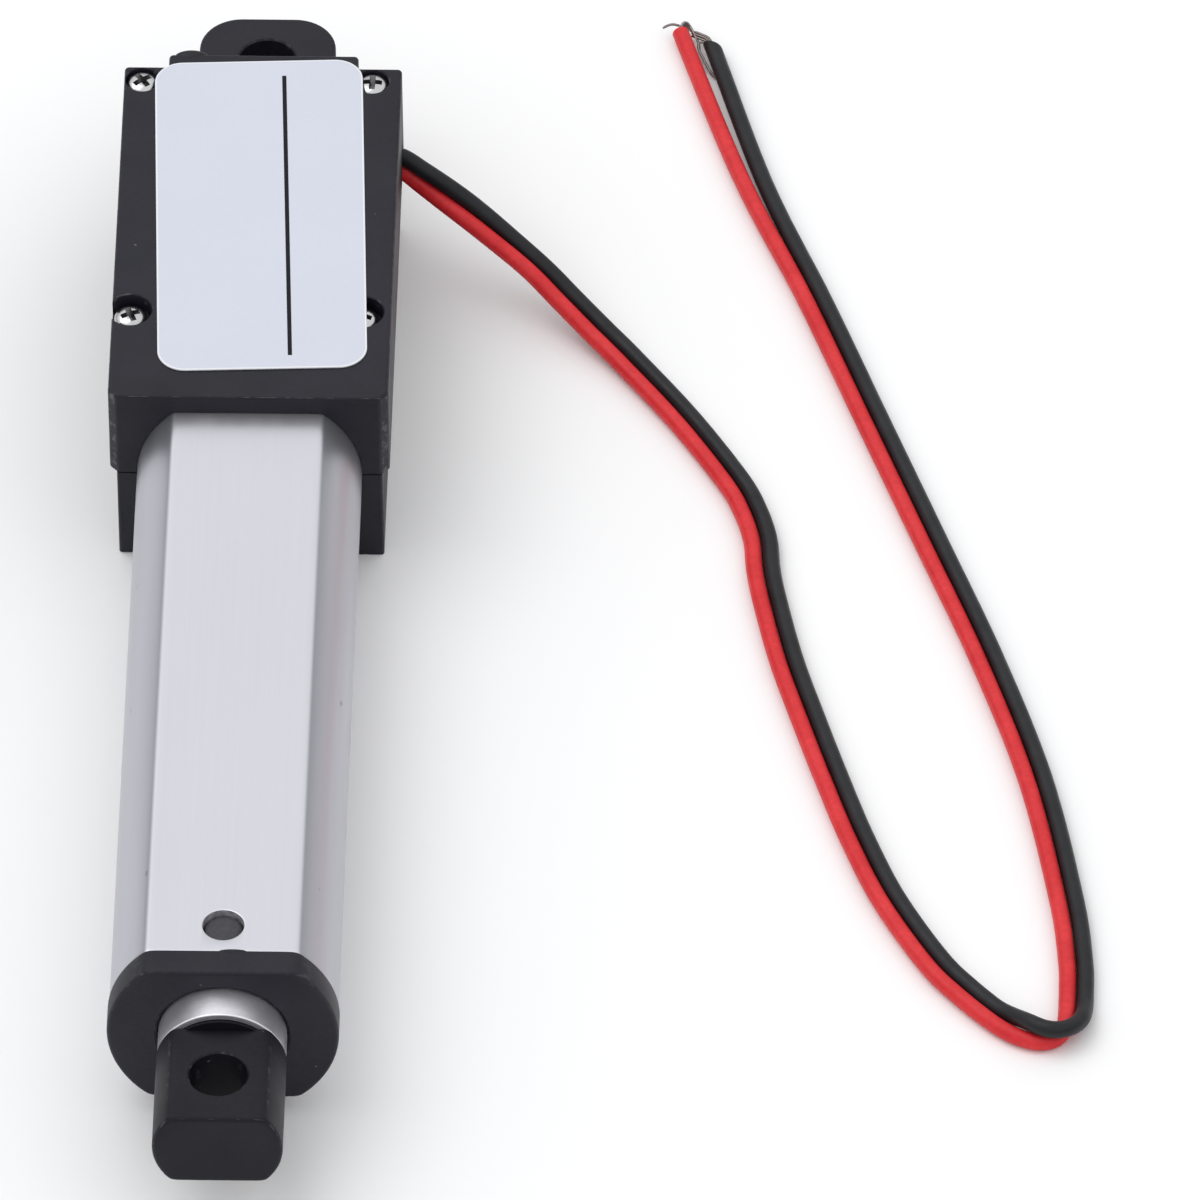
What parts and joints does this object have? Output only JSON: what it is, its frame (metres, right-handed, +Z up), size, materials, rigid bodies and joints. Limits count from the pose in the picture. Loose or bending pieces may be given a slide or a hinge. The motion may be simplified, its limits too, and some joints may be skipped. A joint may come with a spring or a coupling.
{
  "type": "micro linear actuator",
  "caption": "Slim electric linear actuator: a black gear-motor housing with a blank label, a flat-sided silver tube, a steel push rod with pin holes at both ends, and a pair of loose leads.",
  "frame": {"origin": "centre of the underside footprint without the leads: on the axis in plan, midway between the rod end's tip and the rear eye's tip, at the underside of the housing", "axes": "-Y along the push rod's outward travel, +Z up through the label and along both pin holes, +X to the side where the leads leave"},
  "size_m": [0.0704, 0.1223, 0.0157],
  "materials": {
    "black_plastic": "fine moulded grain, satin",
    "silver_anodised": "clear anodised, faint lengthwise drawing lines",
    "polished_aluminium": "drawn and polished",
    "brushed_steel": "turned and polished",
    "bright_steel": "bright zinc or nickel plate",
    "brass": "plain",
    "white_nylon": "plain",
    "label_film": "satin printed film",
    "rubber": "plain",
    "circuit_board": "solder mask",
    "red_wire": "PVC insulation",
    "black_wire": "PVC insulation",
    "tinned_copper": "tinned"
  },
  "bodies": {
    "housing": {"housing_cover": "black_plastic", "housing_base": "black_plastic", "cover_screw_front_left": "bright_steel", "cover_screw_front_right": "bright_steel", "cover_screw_rear_left": "bright_steel", "cover_screw_rear_right": "bright_steel", "label_plate": "label_film", "rear_mounting_eye": "black_plastic", "outer_tube": "silver_anodised", "front_cap": "black_plastic", "rod_seal": "rubber", "bearing_outer_race": "bright_steel", "gearbox_front_plate": "brass", "gearbox_rear_plate": "brass", "gearbox_post_lower": "brass", "gearbox_post_upper": "brass", "idler_shaft": "bright_steel", "motor_can": "bright_steel", "motor_end_cap": "white_nylon", "motor_terminal_lower": "tinned_copper", "motor_terminal_upper": "tinned_copper", "limit_switch_board": "circuit_board", "limit_contact_front": "tinned_copper", "limit_contact_rear": "tinned_copper", "red_lead": "red_wire", "black_lead": "black_wire", "red_wire_end": "tinned_copper", "black_wire_end": "tinned_copper"},
    "rod": {"push_rod": "polished_aluminium", "rod_end": "black_plastic", "drive_nut": "white_nylon"},
    "screw": {"lead_screw": "brushed_steel", "output_gear": "brass", "bearing_inner_race": "bright_steel"},
    "third_gear": {"third_stage_gear": "brass"},
    "second_gear": {"second_stage_gear": "brass"},
    "first_gear": {"first_stage_gear": "brass"},
    "rotor": {"motor_shaft": "bright_steel", "motor_pinion": "brass"}
  },
  "joints": [
    {"name": "rod_slide", "type": "slide", "parent": "housing", "child": "rod", "axis": [0, -1, 0], "range_m": [0, 0.05]},
    {"name": "lead_screw_spin", "type": "hinge", "parent": "housing", "child": "screw", "pos_m": [0, 0, 0.008], "axis": [0, 1, 0], "range_deg": [0, 9001]},
    {"name": "third_gear_spin", "type": "hinge", "parent": "housing", "child": "third_gear", "pos_m": [0.00325, 0, 0.008], "axis": [0, 1, 0], "range_deg": [-20253, 0]},
    {"name": "second_gear_spin", "type": "hinge", "parent": "housing", "child": "second_gear", "pos_m": [0, 0, 0.008], "axis": [0, 1, 0], "range_deg": [0, 45568]},
    {"name": "first_gear_spin", "type": "hinge", "parent": "housing", "child": "first_gear", "pos_m": [0.00325, 0, 0.008], "axis": [0, 1, 0], "range_deg": [-102528, 0]},
    {"name": "motor_spin", "type": "hinge", "parent": "housing", "child": "rotor", "pos_m": [0, 0, 0.008], "axis": [0, 1, 0], "range_deg": [0, 230686]}
  ],
  "couplings": [
    {"joint": "lead_screw_spin", "follows": "rod_slide", "rad_per_m": 3141.6},
    {"joint": "third_gear_spin", "follows": "rod_slide", "rad_per_m": -7068.6},
    {"joint": "second_gear_spin", "follows": "rod_slide", "rad_per_m": 15904},
    {"joint": "first_gear_spin", "follows": "rod_slide", "rad_per_m": -35785},
    {"joint": "motor_spin", "follows": "rod_slide", "rad_per_m": 80516}
  ]
}
